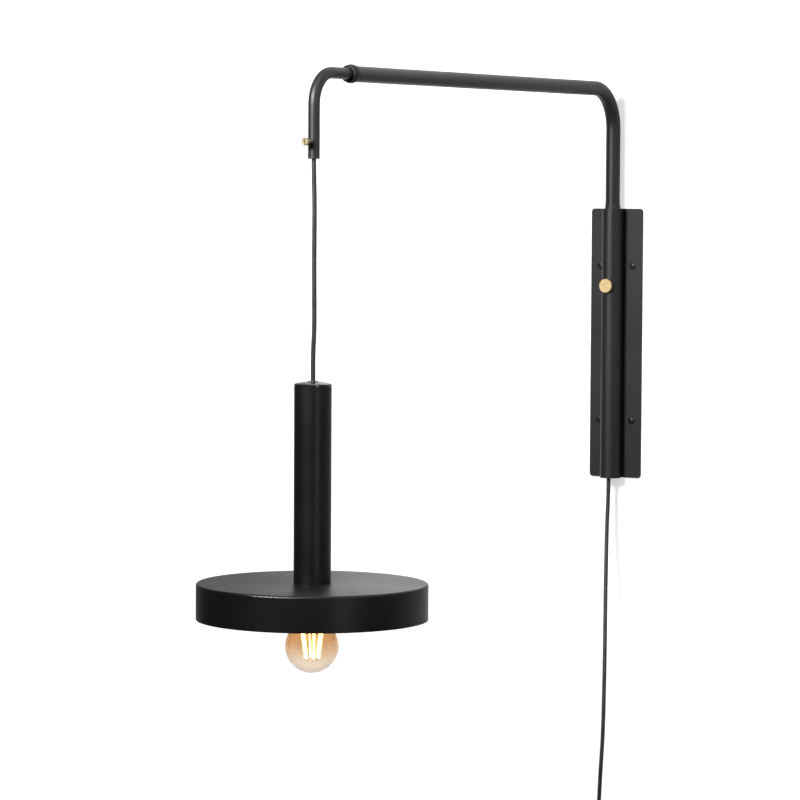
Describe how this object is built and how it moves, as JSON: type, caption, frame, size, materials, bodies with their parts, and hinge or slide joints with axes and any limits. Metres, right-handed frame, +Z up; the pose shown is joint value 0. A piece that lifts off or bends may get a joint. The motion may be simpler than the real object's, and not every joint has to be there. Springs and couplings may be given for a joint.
{
  "type": "swing arm wall sconce",
  "caption": "Wall lamp with a swinging, sliding and telescoping arm that hangs a slim tube and a shallow round shade with a globe bulb from a height-adjustable cord.",
  "frame": {"origin": "centre of the back plate's wall face", "axes": "+Y into the wall, so the lamp stands out towards -Y; +Z up; +X to the right of someone who faces the wall"},
  "size_m": [0.3, 1.019, 1.2684],
  "materials": {
    "black_metal": "satin powder coat",
    "shade_paint": "satin powder coat",
    "black_screws": "black oxide",
    "black_plastic": "moulded",
    "brass": "turned, satin",
    "plain_steel": "zinc plated",
    "cord_sheath": "smooth round sheath",
    "tie_strap": "woven strap",
    "plug_plastic": "moulded",
    "plated_pins": "plated",
    "ceramic": "glazed",
    "shell_metal": "rolled",
    "cap_insulator": "glassy",
    "bulb_glass": "clear, faint amber tint",
    "stem_glass": "clear",
    "filament": "phosphor coated, lit"
  },
  "bodies": {
    "wall_bracket": {"back_plate": "black_metal", "guide_tube": "black_metal", "clamp_insert": "brass", "top_bush": "black_plastic", "outlet_plug": "black_plastic", "wall_screws": "black_screws", "wall_cord": "cord_sheath", "cord_coil": "cord_sheath", "coil_tie": "tie_strap", "cord_tail": "cord_sheath", "plug_relief": "plug_plastic", "plug_body": "plug_plastic", "plug_pins": "plated_pins"},
    "clamp_pad": {"clamp_pad": "brass"},
    "clamp_knob": {"clamp_knob": "brass"},
    "mast_glide": {"glide_ring": "black_plastic"},
    "arm": {"arm_tube": "black_metal", "glide_clips": "plain_steel", "arm_collar": "black_metal", "arm_liner": "black_plastic", "arm_lead": "cord_sheath"},
    "inner_arm": {"inner_tube": "black_metal", "inner_glide": "black_plastic", "tip_bush": "black_plastic", "tip_insert": "brass", "tip_lead": "cord_sheath"},
    "cord_pad": {"cord_pad": "brass"},
    "cord_screw": {"cord_screw": "brass"},
    "cord_neck": {"cord_neck": "cord_sheath"},
    "drop_cord": {"drop_cord": "cord_sheath"},
    "cord_grip": {"cord_grip": "black_plastic"},
    "pendant": {"pendant_tube": "black_metal", "pendant_cap": "black_metal", "cap_gland": "black_plastic", "tube_foot": "plain_steel", "nipple_nut": "plain_steel", "nipple": "plain_steel", "pendant_lead": "cord_sheath", "shade": "shade_paint", "holder_body": "black_plastic", "holder_base": "ceramic", "holder_shell": "shell_metal", "centre_contact": "brass", "bulb_contact": "plain_steel", "bulb_insulator": "cap_insulator", "bulb_cap": "shell_metal", "bulb_glass": "bulb_glass", "bulb_stem": "stem_glass", "filaments": "filament", "filament_wires": "plain_steel"}
  },
  "joints": [
    {"name": "arm_height", "type": "slide", "parent": "wall_bracket", "child": "mast_glide", "axis": [0, 0, 1], "range_m": [-0.105, 0.115]},
    {"name": "arm_swing", "type": "hinge", "parent": "mast_glide", "child": "arm", "pos_m": [0, -0.017, -0.057], "axis": [0, 0, 1], "range_deg": [-80, 80]},
    {"name": "arm_extend", "type": "slide", "parent": "arm", "child": "inner_arm", "axis": [0, -1, 0], "range_m": [0, 0.24]},
    {"name": "swing_fore", "type": "hinge", "parent": "inner_arm", "child": "cord_neck", "pos_m": [0, -0.835, 0.268], "axis": [1, 0, 0], "range_deg": [-15, 15]},
    {"name": "swing_side", "type": "hinge", "parent": "cord_neck", "child": "drop_cord", "pos_m": [0, -0.835, 0.268], "axis": [0, 1, 0], "range_deg": [-15, 15]},
    {"name": "pendant_height", "type": "slide", "parent": "drop_cord", "child": "cord_grip", "axis": [0, 0, 1], "range_m": [0, 0.2], "deforming": ["drop_cord"]},
    {"name": "pendant_turn", "type": "hinge", "parent": "cord_grip", "child": "pendant", "pos_m": [0, -0.835, -0.04], "axis": [0, 0, 1], "range_deg": [-180, 180]},
    {"name": "knob_travel", "type": "slide", "parent": "wall_bracket", "child": "clamp_pad", "axis": [0, -1, 0], "range_m": [0, 0.002]},
    {"name": "knob_turn", "type": "hinge", "parent": "clamp_pad", "child": "clamp_knob", "pos_m": [0, -0.017, 0.086], "axis": [0, -1, 0], "range_deg": [0, 721]},
    {"name": "cord_screw_travel", "type": "slide", "parent": "inner_arm", "child": "cord_pad", "axis": [0, -1, 0], "range_m": [0, 0.0014]},
    {"name": "cord_screw_turn", "type": "hinge", "parent": "cord_pad", "child": "cord_screw", "pos_m": [0, -0.835, 0.2865], "axis": [0, -1, 0], "range_deg": [0, 721]}
  ],
  "couplings": [
    {"joint": "knob_turn", "follows": "knob_travel", "rad_per_m": 6283.2},
    {"joint": "cord_screw_turn", "follows": "cord_screw_travel", "rad_per_m": 8976}
  ]
}
